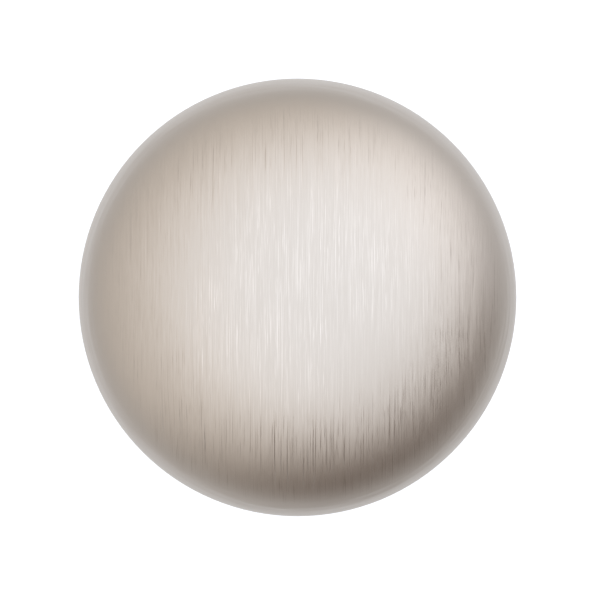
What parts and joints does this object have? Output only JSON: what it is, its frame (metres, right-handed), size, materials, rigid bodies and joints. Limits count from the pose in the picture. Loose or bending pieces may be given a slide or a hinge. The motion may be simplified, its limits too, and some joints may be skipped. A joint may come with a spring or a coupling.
{
  "type": "cabinet knob",
  "caption": "Round mushroom knob for a cabinet door or drawer, with a domed brushed metal face, a waisted stem and a blind tapped hole in its base.",
  "frame": {"origin": "centre of the base ring, where the knob's axis meets the face of the door", "axes": "+Z along the knob's axis, away from the door and out to the hand; the brush lines on the face run along Y; X is across them"},
  "size_m": [0.0318, 0.0318, 0.027],
  "materials": {
    "satin_nickel": "satin nickel plate over zinc alloy, brushed in straight lines across the face and round the side, under clear lacquer"
  },
  "bodies": {
    "root": {"knob": "satin_nickel"}
  },
  "joints": []
}
